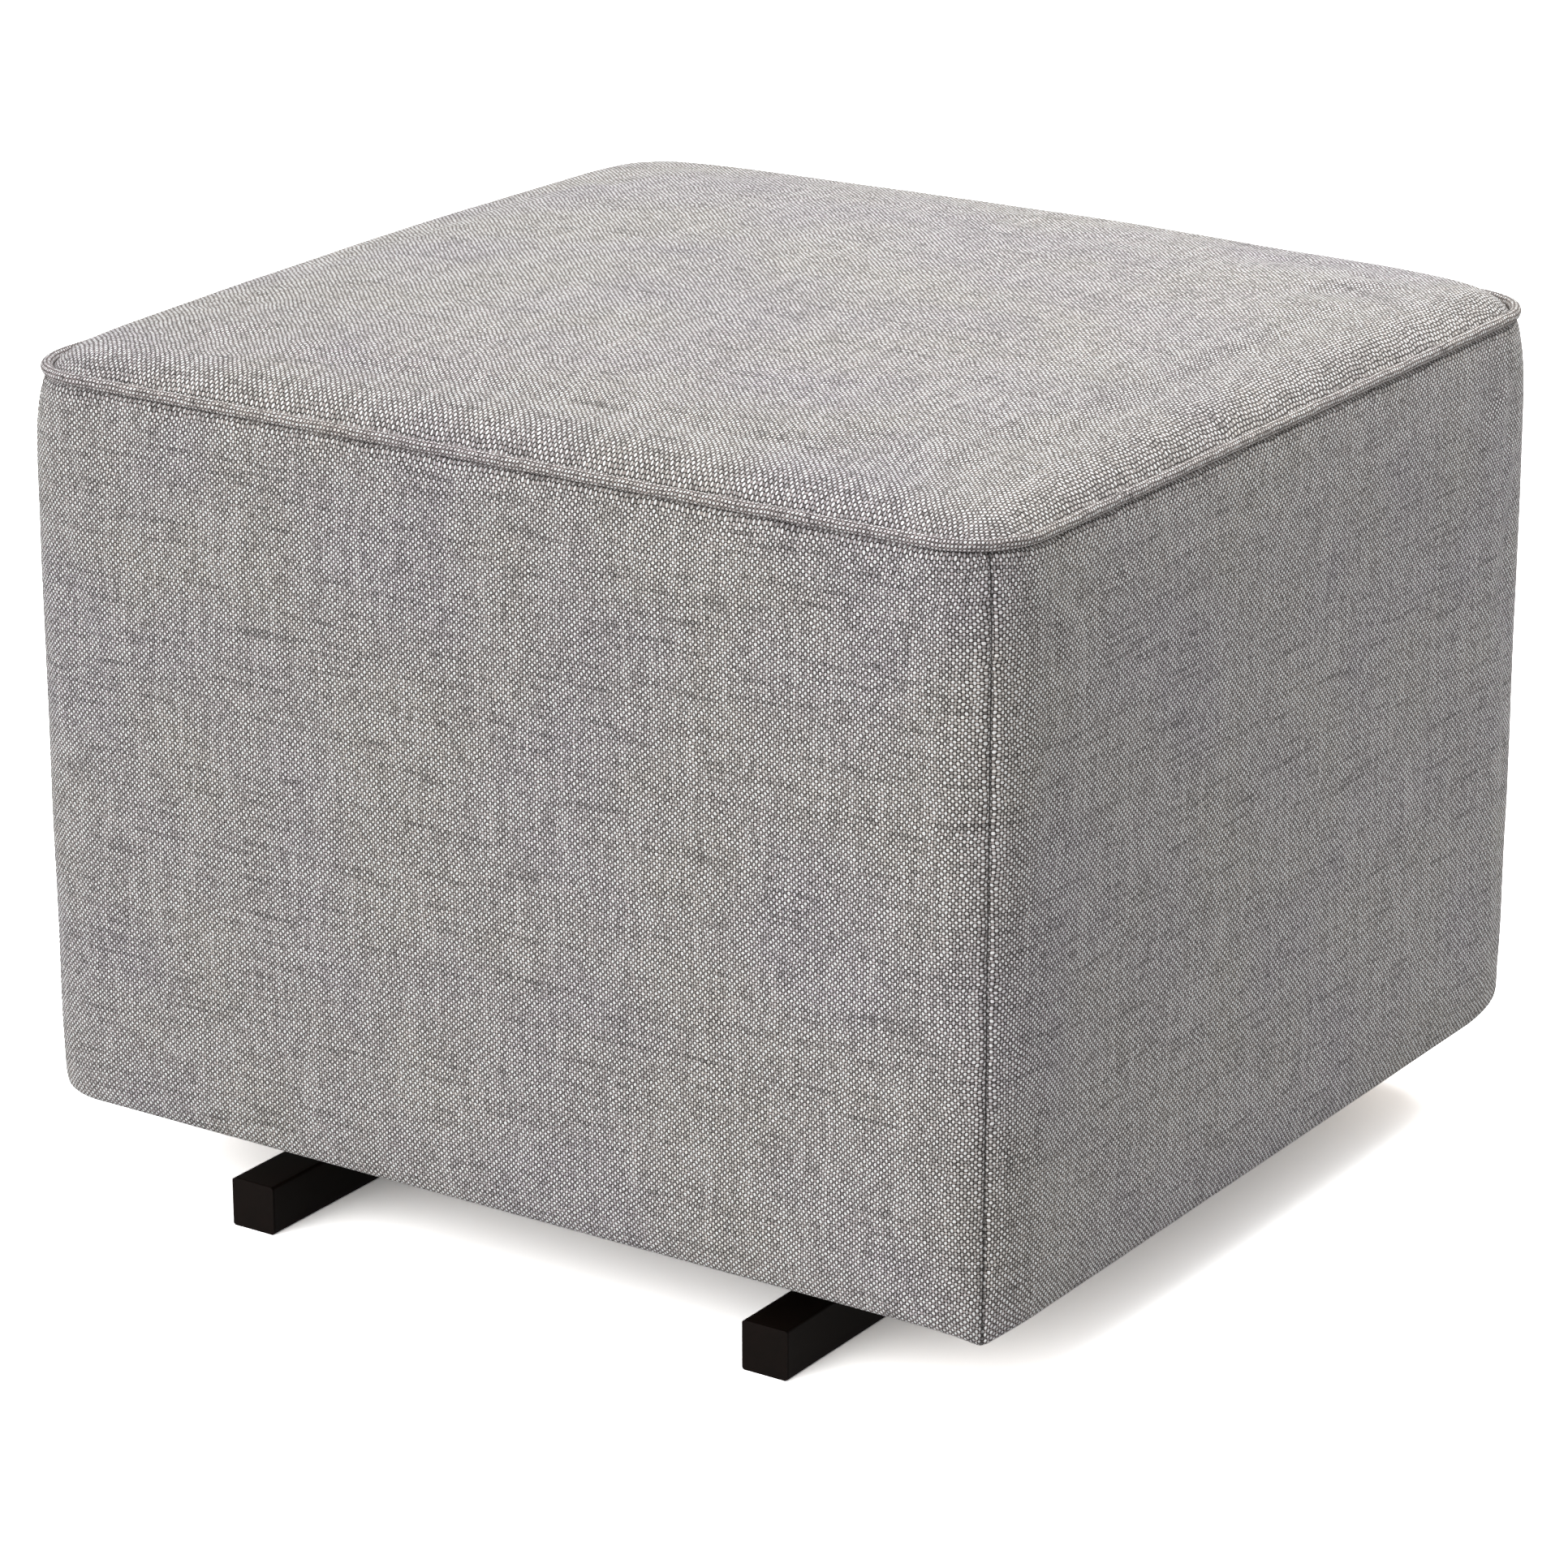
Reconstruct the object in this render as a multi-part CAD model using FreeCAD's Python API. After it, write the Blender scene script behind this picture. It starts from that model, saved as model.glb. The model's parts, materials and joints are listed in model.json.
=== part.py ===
import FreeCAD, Part
import math
import os

# Gliding ottoman: an upholstered box that hangs from four swing links on a steel floor base.
# Millimetres. Origin on the floor under the middle of the box at rest.
# +X runs right along the wide front face, +Y runs back along the floor rails, +Z is up.

# Upholstered box
box_width = 560.0
box_depth = 526.0
box_bottom_z = 50.5
welt_seam_z = 414.0
corner_radius = 42.0

# Section of the side walls: how far the fabric is drawn in, and at what share of the wall's height
bottom_draw_in = 1.6
upper_draw_in = 0.3
shoulder_draw_in = 2.4
top_draw_in = 5.8
fold_share = 0.1
widest_share = 0.4
upper_share = 0.8
shoulder_share = 0.94

# Crown of the top: its rise, how fast it rises from the edge, and the flatter middle's reach and corners
crown_height = 20.0
crown_power = 3.2
crown_sections = 6
crown_section_spread = 1.6
crown_plateau = 50.0
crown_plateau_radius = 45.0

# Layers of the upholstery, from the outside in
cover_thickness = 1.2
side_wadding_thickness = 9.0
top_wadding_thickness = 8.0
board_thickness = 4.0
soft_gap = 0.3
seam_gap = 0.4
hem_width = 25.0
welt_radius = 3.0
welt_setback = 0.7
foam_edge_thickness = 70.0

# Wooden frame
post_size = 48.0
rail_thickness = 22.0
bottom_rail_height = 80.0
top_rail_height = 60.0
deck_thickness = 9.0
runner_width = 30.0
runner_height = 40.0
wood_screw_radius = 2.5
wood_screw_head_radius = 4.8
frame_screw_length = 70.0
frame_screw_recess = 17.0
frame_screw_shares = (0.35, 0.65)
runner_screw_length = 60.0
runner_screw_shares = (0.3, 0.7)
deck_screw_length = 35.0
deck_screw_offset = 115.0
screw_gap = 0.1
screw_mouth_depth = 0.5

# Floor base
floor_rail_size = 25.0
floor_rail_wall = 2.0
floor_rail_edge_radius = 1.5
floor_rail_spacing = 300.0
floor_rail_setback = 12.0
end_cap_flange = 1.5
end_cap_plug = 12.0
end_cap_gap = 0.1
cross_tube_size = 20.0
cross_tube_wall = 1.5
cross_tube_spacing = 200.0
tie_tube_drop = 32.0

# Swing mechanism
link_length = 110.0
link_spacing = 240.0
lower_pivot_z = 72.0
swing_limit_deg = 24.0
link_width = 34.0
link_thickness = 5.0
bearing_outer_radius = 11.0
bearing_width = 7.0
bearing_groove_depth = 0.6
bearing_ring_wall = 2.2
press_gap = 0.02
pivot_bolt_radius = 4.0
pivot_gap = 0.08
bolt_head_flats = 13.0
bolt_head_height = 5.3
nut_height = 8.0
bolt_end_length = 2.0
spacer_radius = 7.0
upper_spacer_length = 8.0
lower_spacer_length = 3.0
plate_thickness = 3.0
bracket_foot_length = 84.0
bracket_top_radius = 16.0
bracket_window_radius = 10.0
foot_screw_spacing = 60.0
foot_screw_radius = 3.0
foot_screw_head_radius = 5.5
foot_screw_head_height = 3.3
foot_screw_length = 14.0
seat_rail_height = 35.0
seat_rail_pivot_height = 15.0
seat_rail_flange = 35.0
seat_rail_end_gap = 26.0
seat_screw_inset = 60.0
seat_screw_length = 28.0
seat_screw_head_height = 2.5
stop_button_radius = 6.0
stop_button_height = 8.0
stop_button_stem_radius = 2.3
stop_button_stem_end = 2.0
stop_button_lift = 12.0
stop_clearance = 0.5

# Places that follow from the sizes above
half_width = box_width / 2
half_depth = box_depth / 2
frame_inset = cover_thickness + side_wadding_thickness + 2 * soft_gap
frame_half_x = half_width - frame_inset
frame_half_y = half_depth - frame_inset
frame_bottom_z = box_bottom_z + cover_thickness + soft_gap
welt_z = welt_seam_z + welt_radius
welt_inset = top_draw_in + welt_setback
welt_half_x = half_width - welt_inset
welt_half_y = half_depth - welt_inset
top_inset = welt_inset + welt_radius + soft_gap
wall_top_z = welt_seam_z - soft_gap
foam_drop = cover_thickness + soft_gap + top_wadding_thickness + soft_gap
deck_top_z = welt_z - foam_drop - foam_edge_thickness
frame_top_z = deck_top_z - deck_thickness
top_rail_z = frame_top_z - top_rail_height

rail_x = floor_rail_spacing / 2
rail_inner_x = rail_x - floor_rail_size / 2
rail_end_y = half_depth - floor_rail_setback
rail_tube_end_y = rail_end_y - end_cap_flange
foot_top_z = floor_rail_size + plate_thickness
bracket_outer_x = rail_inner_x + plate_thickness
bearing_x = bracket_outer_x + upper_spacer_length
link_x = bearing_x + (bearing_width - link_thickness) / 2
bearing_end_x = bearing_x + bearing_width
seat_rail_x = bearing_end_x + lower_spacer_length
seat_rail_outer_x = seat_rail_x + plate_thickness
seat_rail_top_z = lower_pivot_z + seat_rail_height - seat_rail_pivot_height
upper_pivot_z = lower_pivot_z + link_length
pivot_y = link_spacing / 2
tie_tube_z = upper_pivot_z - tie_tube_drop
runner_x = seat_rail_x + seat_rail_flange - runner_width
runner_end_y = frame_half_y - board_thickness - rail_thickness
seat_rail_end_y = runner_end_y - seat_rail_end_gap
seat_screw_y = runner_end_y - seat_screw_inset

SIDES = {"left": -1, "right": 1}
ENDS = {"front": -1, "rear": 1}
X_AXIS = FreeCAD.Vector(1, 0, 0)
Y_AXIS = FreeCAD.Vector(0, 1, 0)
Z_AXIS = FreeCAD.Vector(0, 0, 1)

os.makedirs("parts", exist_ok=True)


def save(name, shape):
    """Write one sub-part and say what it holds."""
    shape.exportStep("parts/" + name + ".step")
    print(name, "solids", len(shape.Solids), "valid", shape.isValid(), "volume", round(shape.Volume, 1))


def vec(x, y, z):
    return FreeCAD.Vector(x, y, z)


def box(low, high):
    """Block between two corners, given in any order."""
    corner = [min(a, b) for a, b in zip(low, high)]
    size = [abs(a - b) for a, b in zip(low, high)]
    return Part.makeBox(size[0], size[1], size[2], vec(*corner))


def square_tube(low, high, wall, axis):
    """Square tube between two corners, open along one axis (0 is X, 1 is Y)."""
    inner_low = [value + (0 if i == axis else wall) for i, value in enumerate(low)]
    inner_high = [value - (0 if i == axis else wall) for i, value in enumerate(high)]
    return box(low, high).cut(box(inner_low, inner_high))


def round_edges_along(shape, axis, radius):
    """Round the four outer corner edges of a square bar that runs along one axis."""
    bounds = shape.BoundBox
    edges = []
    for edge in shape.Edges:
        middle = edge.BoundBox.Center
        straight = abs(edge.tangentAt(edge.FirstParameter).dot(axis)) > 0.999
        at_side = min(abs(middle.x - bounds.XMin), abs(middle.x - bounds.XMax)) < radius / 10
        at_level = min(abs(middle.z - bounds.ZMin), abs(middle.z - bounds.ZMax)) < radius / 10
        if straight and at_side and at_level:
            edges.append(edge)
    return shape.makeFillet(radius, edges)


def rod(start, direction, radius, length):
    return Part.makeCylinder(radius, length, start, direction)


def ring(start, direction, outer_radius, inner_radius, length):
    return rod(start, direction, outer_radius, length).cut(rod(start, direction, inner_radius, length))


def hexagon(x, y, z, flats, length):
    """Six-sided prism along +X, standing on the plane at x."""
    corner = flats / math.sqrt(3)
    angles = [math.radians(60 * i) for i in range(7)]
    points = [vec(x, y + corner * math.cos(a), z + corner * math.sin(a)) for a in angles]
    return Part.Face(Part.makePolygon(points)).extrude(X_AXIS * length)


def outline(half_x, half_y, radius, z):
    """Rectangle with rounded corners in a level plane, as four lines and four arcs."""
    edges = []
    centres = [(half_x - radius, radius - half_y), (half_x - radius, half_y - radius),
               (radius - half_x, half_y - radius), (radius - half_x, radius - half_y)]
    for i, (cx, cy) in enumerate(centres):
        start, middle, end = [math.radians(90 * i - 90 + turn) for turn in (0, 45, 90)]
        at = [vec(cx + radius * math.cos(a), cy + radius * math.sin(a), z) for a in (start, middle, end)]
        edges.append(Part.Arc(*at).toShape())
        nx, ny = centres[(i + 1) % 4]
        following = vec(nx + radius * math.cos(end), ny + radius * math.sin(end), z)
        edges.append(Part.LineSegment(at[2], following).toShape())
    return Part.Wire(edges)


def prism(inset, low_z, high_z):
    """Upright block of the box's outline, drawn in all round by the inset."""
    wire = outline(half_width - inset, half_depth - inset, corner_radius - inset, low_z)
    return Part.Face(wire).extrude(Z_AXIS * (high_z - low_z))


def wall_body(inset):
    """The box's full swelling side walls as one solid, drawn in all round by the inset."""
    height = wall_top_z - box_bottom_z
    profile = [(0.0, bottom_draw_in), (fold_share, bottom_draw_in / 4), (widest_share, 0.0),
               (upper_share, upper_draw_in), (shoulder_share, shoulder_draw_in), (1.0, top_draw_in)]
    wires = []
    for share, draw_in in profile:
        total = inset + draw_in
        wires.append(outline(half_width - total, half_depth - total, corner_radius - total,
                             box_bottom_z + share * height))
    return Part.makeLoft(wires, True, False)


def crown_body(drop):
    """Block from the deck up to the crowned top surface, lowered by the drop."""
    edge_z = welt_z - drop
    edge_x = half_width - top_inset
    edge_y = half_depth - top_inset
    edge_radius = corner_radius - top_inset
    reach = edge_y - crown_plateau
    wires = []
    for i in range(crown_sections + 1):
        share = (i / crown_sections) ** crown_section_spread
        inset = reach * share
        rise = crown_height * (1 - (1 - share) ** crown_power)
        radius = edge_radius + share * (crown_plateau_radius - edge_radius)
        wires.append(outline(edge_x - inset, edge_y - inset, radius, edge_z + rise))
    return prism(top_inset, deck_top_z, edge_z).fuse(Part.makeLoft(wires, True, False))


def corner_sector(end):
    """Block that holds one front or rear wall, cut at the corners' diagonals."""
    low = box_bottom_z - 1
    centre_x = half_width - corner_radius - seam_gap / 2
    centre_y = half_depth - corner_radius
    reach = corner_radius * 2
    points = [vec(centre_x, end * centre_y, low), vec(centre_x + reach, end * (centre_y + reach), low),
              vec(-centre_x - reach, end * (centre_y + reach), low), vec(-centre_x, end * centre_y, low),
              vec(centre_x, end * centre_y, low)]
    return Part.Face(Part.makePolygon(points)).extrude(Z_AXIS * (wall_top_z - low + 1))


def side_sector(side):
    """Block that holds one left or right wall, cut at the corners' diagonals."""
    low = box_bottom_z - 1
    centre_x = half_width - corner_radius + seam_gap / 2
    centre_y = half_depth - corner_radius
    reach = corner_radius * 2
    points = [vec(side * centre_x, -centre_y, low), vec(side * (centre_x + reach), -centre_y - reach, low),
              vec(side * (centre_x + reach), centre_y + reach, low), vec(side * centre_x, centre_y, low),
              vec(side * centre_x, -centre_y, low)]
    return Part.Face(Part.makePolygon(points)).extrude(Z_AXIS * (wall_top_z - low + 1))


def side_covers():
    """Four fabric walls that meet in the corner seams and turn in under the frame as a hem."""
    inside = wall_body(cover_thickness)
    above_hem = prism(0, box_bottom_z + cover_thickness, wall_top_z + 1)
    hollow = inside.common(above_hem)
    mouth = prism(hem_width, box_bottom_z - 1, box_bottom_z + cover_thickness + 1)
    cover = wall_body(0).cut(hollow).cut(mouth)
    for name, end in ENDS.items():
        save("cover_" + name, cover.common(corner_sector(end)))
    for name, side in SIDES.items():
        save("cover_" + name, cover.common(side_sector(side)))


def top_layers():
    """Fabric top, wadding and foam under one crown, from the outside in."""
    under_cover = cover_thickness + soft_gap
    under_wadding = under_cover + top_wadding_thickness
    inner_block = prism(frame_inset, deck_top_z, welt_z + crown_height + 1)
    save("cover_top", crown_body(0).cut(crown_body(cover_thickness)))
    wadding = crown_body(under_cover).cut(crown_body(under_wadding))
    save("top_wadding", wadding.common(inner_block))
    save("foam_cushion", crown_body(foam_drop).common(inner_block))


def side_wadding():
    """Wadding wrapped round the frame, between the boards and the fabric."""
    body = wall_body(cover_thickness + soft_gap)
    band = prism(0, frame_bottom_z, wall_top_z - soft_gap)
    core = prism(frame_inset - soft_gap, frame_bottom_z - 1, wall_top_z + 1)
    save("side_wadding", body.common(band).cut(core))


def welt_cord():
    """Covered cord sewn into the seam round the top edge."""
    path = outline(welt_half_x, welt_half_y, corner_radius - welt_inset, welt_z)
    start = path.Edges[1].Vertexes[0].Point
    direction = path.Edges[1].tangentAt(path.Edges[1].FirstParameter)
    ordered = Part.Wire(path.Edges[1:] + path.Edges[:1])
    profile = Part.Wire([Part.Circle(start, direction, welt_radius).toShape()])
    cord = ordered.makePipeShell([profile], True, False)
    expected = math.pi * welt_radius ** 2 * path.Length
    print("welt cord volume over its section times its length:", round(cord.Volume / expected, 4))
    save("welt_cord", cord)


def wood_screw(head, direction, length):
    """Countersunk screw whose flat head face is centred at the given point."""
    head_depth = wood_screw_head_radius - wood_screw_radius
    cone = Part.makeCone(wood_screw_head_radius, wood_screw_radius, head_depth, head, direction)
    tip_length = 2 * wood_screw_radius
    shank = rod(head, direction, wood_screw_radius, length - tip_length)
    tip_start = head + direction * (length - tip_length)
    tip = Part.makeCone(wood_screw_radius, wood_screw_radius / 5, tip_length, tip_start, direction)
    return cone.fuse([shank, tip])


def wood_screw_hole(head, direction, length, recess):
    """Clearance hole for a wood screw, with a recess of its head's size behind it."""
    head_radius = wood_screw_head_radius + screw_gap
    shank_radius = wood_screw_radius + screw_gap
    seat = head - direction * screw_gap
    cone = Part.makeCone(head_radius, shank_radius, head_radius - shank_radius, seat, direction)
    shank = rod(seat, direction, shank_radius, length + 2 * screw_gap)
    mouth = rod(head - direction * (recess + screw_gap), direction, head_radius, recess)
    return cone.fuse([shank, mouth])


def frame_screw_places():
    """Every frame screw as head point, direction, length and recess depth."""
    across_y = frame_half_y - board_thickness - rail_thickness / 2
    across_x = frame_half_x - board_thickness - rail_thickness / 2
    head_x = frame_half_x - frame_screw_recess
    head_y = frame_half_y - frame_screw_recess
    low_share, high_share = frame_screw_shares
    hole_recess = frame_screw_recess + 1
    places = []
    for side in SIDES.values():
        for end in ENDS.values():
            for low_z, height in ((frame_bottom_z, bottom_rail_height), (top_rail_z, top_rail_height)):
                side_head = vec(side * head_x, end * across_y, low_z + low_share * height)
                end_head = vec(side * across_x, end * head_y, low_z + high_share * height)
                places.append((side_head, X_AXIS * -side, frame_screw_length, hole_recess))
                places.append((end_head, Y_AXIS * -end, frame_screw_length, hole_recess))
            for share in runner_screw_shares:
                head = vec(side * (runner_x + runner_width / 2), end * (frame_half_y - board_thickness),
                           seat_rail_top_z + share * runner_height)
                places.append((head, Y_AXIS * -end, runner_screw_length, screw_mouth_depth))
            places.append((vec(side * deck_screw_offset, end * across_y, deck_top_z),
                           Z_AXIS * -1, deck_screw_length, screw_mouth_depth))
            places.append((vec(side * across_x, end * deck_screw_offset, deck_top_z),
                           Z_AXIS * -1, deck_screw_length, screw_mouth_depth))
    return places


def seat_screw_places():
    """Points under the seat rails' top flanges where the runner screws enter."""
    x = runner_x + runner_width / 2
    z = seat_rail_top_z - plate_thickness
    return [vec(side * x, y, z) for side in SIDES.values()
            for y in (-seat_screw_y, 0.0, seat_screw_y)]


def wooden_frame():
    """Posts, rails, boards, deck and runners, drilled for their screws."""
    holes = Part.makeCompound([wood_screw_hole(*place) for place in frame_screw_places()])
    seat_holes = [rod(start, Z_AXIS, wood_screw_radius + screw_gap, seat_screw_length + screw_gap)
                  for start in seat_screw_places()]
    body = prism(frame_inset, frame_bottom_z, frame_top_z)
    post_x = frame_half_x - post_size
    post_y = frame_half_y - post_size
    levels = {"bottom_rail_": (frame_bottom_z, frame_bottom_z + bottom_rail_height),
              "top_rail_": (top_rail_z, frame_top_z)}
    for end_name, end in ENDS.items():
        for side_name, side in SIDES.items():
            corner = box((side * post_x, end * post_y, frame_bottom_z),
                         (side * frame_half_x, end * frame_half_y, frame_top_z))
            save("corner_post_" + end_name + "_" + side_name, body.common(corner).cut(holes))
        outer_y = end * frame_half_y
        back_y = end * (frame_half_y - board_thickness)
        board = box((-post_x, back_y, frame_bottom_z), (post_x, outer_y, frame_top_z))
        save("side_board_" + end_name, board)
        for name, (low_z, high_z) in levels.items():
            inner_y = back_y - end * rail_thickness
            rail = box((-post_x, inner_y, low_z), (post_x, back_y, high_z))
            save(name + end_name, rail.cut(holes))
    for side_name, side in SIDES.items():
        outer_x = side * frame_half_x
        back_x = side * (frame_half_x - board_thickness)
        board = box((back_x, -post_y, frame_bottom_z), (outer_x, post_y, frame_top_z))
        save("side_board_" + side_name, board)
        for name, (low_z, high_z) in levels.items():
            inner_x = back_x - side * rail_thickness
            rail = box((inner_x, -post_y, low_z), (back_x, post_y, high_z))
            save(name + side_name, rail.cut(holes))
        runner = box((side * runner_x, -runner_end_y, seat_rail_top_z),
                     (side * (runner_x + runner_width), runner_end_y, seat_rail_top_z + runner_height))
        save("runner_" + side_name, runner.cut([holes] + seat_holes))
    save("deck_panel", prism(frame_inset, frame_top_z, deck_top_z).cut(holes))
    save("frame_screws", Part.makeCompound([wood_screw(*place[:3]) for place in frame_screw_places()]))


def end_cap(side, end):
    """Plastic plug with a flush end plate."""
    half = floor_rail_size / 2
    plug_half = half - floor_rail_wall - end_cap_gap
    x = side * rail_x
    plate = box((x - half, end * rail_tube_end_y, 0), (x + half, end * rail_end_y, floor_rail_size))
    plug = box((x - plug_half, end * (rail_tube_end_y - end_cap_plug), half - plug_half),
               (x + plug_half, end * rail_tube_end_y, half + plug_half))
    return round_edges_along(plate, Y_AXIS, floor_rail_edge_radius).fuse(plug)


def foot_screw_places():
    """Points on the rails' top faces where the bracket screws go in."""
    x = rail_inner_x + plate_thickness + (floor_rail_size - plate_thickness) / 2
    return [vec(side * x, end * pivot_y + offset, floor_rail_size) for side in SIDES.values()
            for end in ENDS.values() for offset in (-foot_screw_spacing / 2, foot_screw_spacing / 2)]


def floor_base():
    """Two floor rails with their end caps and the two tubes welded between them."""
    half = floor_rail_size / 2
    holes = [rod(start - Z_AXIS * half, Z_AXIS, foot_screw_radius + screw_gap, floor_rail_size)
             for start in foot_screw_places()]
    for name, side in SIDES.items():
        low = (side * rail_x - half, -rail_tube_end_y, 0)
        high = (side * rail_x + half, rail_tube_end_y, floor_rail_size)
        tube = round_edges_along(square_tube(low, high, floor_rail_wall, 1), Y_AXIS, floor_rail_edge_radius)
        save("floor_rail_" + name, tube.cut(holes))
    caps = [end_cap(side, end) for side in SIDES.values() for end in ENDS.values()]
    save("rail_end_caps", Part.makeCompound(caps))
    tube_half = cross_tube_size / 2
    for name, end in ENDS.items():
        middle_y = end * cross_tube_spacing / 2
        low = (-rail_inner_x, middle_y - tube_half, half - tube_half)
        high = (rail_inner_x, middle_y + tube_half, half + tube_half)
        save("cross_tube_" + name, square_tube(low, high, cross_tube_wall, 0))
        low = (-rail_inner_x, end * pivot_y - tube_half, tie_tube_z - tube_half)
        high = (rail_inner_x, end * pivot_y + tube_half, tie_tube_z + tube_half)
        save("tie_tube_" + name, square_tube(low, high, cross_tube_wall, 0))


def bracket_plate(x, y):
    """Upright plate that narrows from its foot to a round top about the upper pivot."""
    half_foot = bracket_foot_length / 2
    drop = upper_pivot_z - floor_rail_size
    reach = math.hypot(half_foot, drop)
    angle = math.atan2(-drop, half_foot) + math.acos(bracket_top_radius / reach)
    touch_y = bracket_top_radius * math.cos(angle)
    touch_z = upper_pivot_z + bracket_top_radius * math.sin(angle)
    foot_left = vec(x, y - half_foot, floor_rail_size)
    foot_right = vec(x, y + half_foot, floor_rail_size)
    side_left = vec(x, y - touch_y, touch_z)
    side_right = vec(x, y + touch_y, touch_z)
    crest = vec(x, y, upper_pivot_z + bracket_top_radius)
    wire = Part.Wire([Part.LineSegment(foot_left, foot_right).toShape(),
                      Part.LineSegment(foot_right, side_right).toShape(),
                      Part.Arc(side_right, crest, side_left).toShape(),
                      Part.LineSegment(side_left, foot_left).toShape()])
    return Part.Face(wire).extrude(X_AXIS * plate_thickness)


def pivot_bracket(side, end):
    """Bent steel bracket: a foot on the floor rail and a plate that carries the upper pivot."""
    y = end * pivot_y
    plate_x = min(side * rail_inner_x, side * bracket_outer_x)
    plate = bracket_plate(plate_x, y)
    half_foot = bracket_foot_length / 2
    foot = box((side * rail_inner_x, y - half_foot, floor_rail_size),
               (side * (rail_inner_x + floor_rail_size), y + half_foot, foot_top_z))
    window_z = (foot_top_z + tie_tube_z) / 2
    holes = ((upper_pivot_z, pivot_bolt_radius + pivot_gap), (window_z, bracket_window_radius))
    cuts = [rod(vec(plate_x - 1, y, z), X_AXIS, radius, plate_thickness + 2) for z, radius in holes]
    cuts += [rod(start, Z_AXIS, foot_screw_radius + screw_gap, plate_thickness + 1)
             for start in foot_screw_places()]
    return plate.fuse(foot).removeSplitter().cut(cuts)


def pivot_bolt(side, y, z, head_x, end_x):
    """Hexagon bolt through a pivot; head_x is where its head seats, on the inner side."""
    head_start = head_x - bolt_head_height if side > 0 else -head_x
    head = hexagon(head_start, y, z, bolt_head_flats, bolt_head_height)
    shank = rod(vec(side * head_x, y, z), X_AXIS * side, pivot_bolt_radius, end_x - head_x)
    return head.fuse(shank)


def pivot_nut(side, y, z, seat_x):
    """Locking nut that seats at seat_x, on the outer side."""
    start_x = seat_x if side > 0 else -seat_x - nut_height
    bore = rod(vec(start_x, y, z), X_AXIS, pivot_bolt_radius + press_gap, nut_height)
    return hexagon(start_x, y, z, bolt_head_flats, nut_height).cut(bore)


def spacer(side, y, z, start_x, length):
    """Sleeve that keeps two plates apart on a pivot bolt."""
    start = vec(side * start_x, y, z)
    return ring(start, X_AXIS * side, spacer_radius, pivot_bolt_radius + pivot_gap, length)


def pivot_hardware():
    """Bolts, nuts and sleeves of the four upper and the four lower pivots."""
    groups = {"upper": (upper_pivot_z, rail_inner_x, bearing_end_x, bracket_outer_x, upper_spacer_length),
              "lower": (lower_pivot_z, bearing_x, seat_rail_outer_x, bearing_end_x, lower_spacer_length)}
    for name, (z, head_x, nut_x, spacer_x, spacer_length) in groups.items():
        bolt_end_x = nut_x + nut_height + bolt_end_length
        corners = [(side, end * pivot_y) for side in SIDES.values() for end in ENDS.values()]
        bolts = [pivot_bolt(side, y, z, head_x, bolt_end_x) for side, y in corners]
        nuts = [pivot_nut(side, y, z, nut_x) for side, y in corners]
        sleeves = [spacer(side, y, z, spacer_x, spacer_length) for side, y in corners]
        save(name + "_pivot_bolts", Part.makeCompound(bolts))
        save(name + "_pivot_nuts", Part.makeCompound(nuts))
        save(name + "_pivot_spacers", Part.makeCompound(sleeves))


def swing_link(side, end):
    """Flat bar with round ends and a bearing seat at each end."""
    y = end * pivot_y
    start_x = link_x if side > 0 else -link_x - link_thickness
    half = link_width / 2
    bar = box((start_x, y - half, lower_pivot_z), (start_x + link_thickness, y + half, upper_pivot_z))
    ends = [rod(vec(start_x, y, z), X_AXIS, half, link_thickness) for z in (lower_pivot_z, upper_pivot_z)]
    seats = [rod(vec(start_x, y, z), X_AXIS, bearing_outer_radius + press_gap, link_thickness)
             for z in (lower_pivot_z, upper_pivot_z)]
    return bar.fuse(ends).removeSplitter().cut(seats)


def bearing(side, y, z):
    """Sealed ball bearing with its seals sunk a little between the two rings."""
    start = vec(side * bearing_x, y, z)
    direction = X_AXIS * side
    bore_radius = pivot_bolt_radius + pivot_gap
    body = ring(start, direction, bearing_outer_radius, bore_radius, bearing_width)
    groove_outer = bearing_outer_radius - bearing_ring_wall
    groove_inner = bore_radius + bearing_ring_wall
    far = start + direction * (bearing_width - bearing_groove_depth)
    grooves = [ring(at, direction, groove_outer, groove_inner, bearing_groove_depth) for at in (start, far)]
    return body.cut(grooves)


def swing_links():
    for end_name, end in ENDS.items():
        for side_name, side in SIDES.items():
            place = end_name + "_" + side_name
            save("pivot_bracket_" + place, pivot_bracket(side, end))
            save("swing_link_" + place, swing_link(side, end))
            pair = [bearing(side, end * pivot_y, z) for z in (lower_pivot_z, upper_pivot_z)]
            save("link_bearings_" + place, Part.makeCompound(pair))
    screws = []
    for start in foot_screw_places():
        seat = start + Z_AXIS * plate_thickness
        head = rod(seat, Z_AXIS, foot_screw_head_radius, foot_screw_head_height)
        shank = rod(seat - Z_AXIS * foot_screw_length, Z_AXIS, foot_screw_radius, foot_screw_length)
        screws.append(head.fuse(shank))
    save("bracket_screws", Part.makeCompound(screws))


def stop_places():
    """Middles of the rubber stops that the front links meet at the end of the glide."""
    swing = math.radians(swing_limit_deg)
    contact = link_width / 2 + stop_button_radius + stop_clearance
    offset = (contact + stop_button_lift * math.sin(swing)) / math.cos(swing)
    return [(side, shift - pivot_y, lower_pivot_z + stop_button_lift) for side in SIDES.values()
            for shift in (-offset, offset)]


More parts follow.
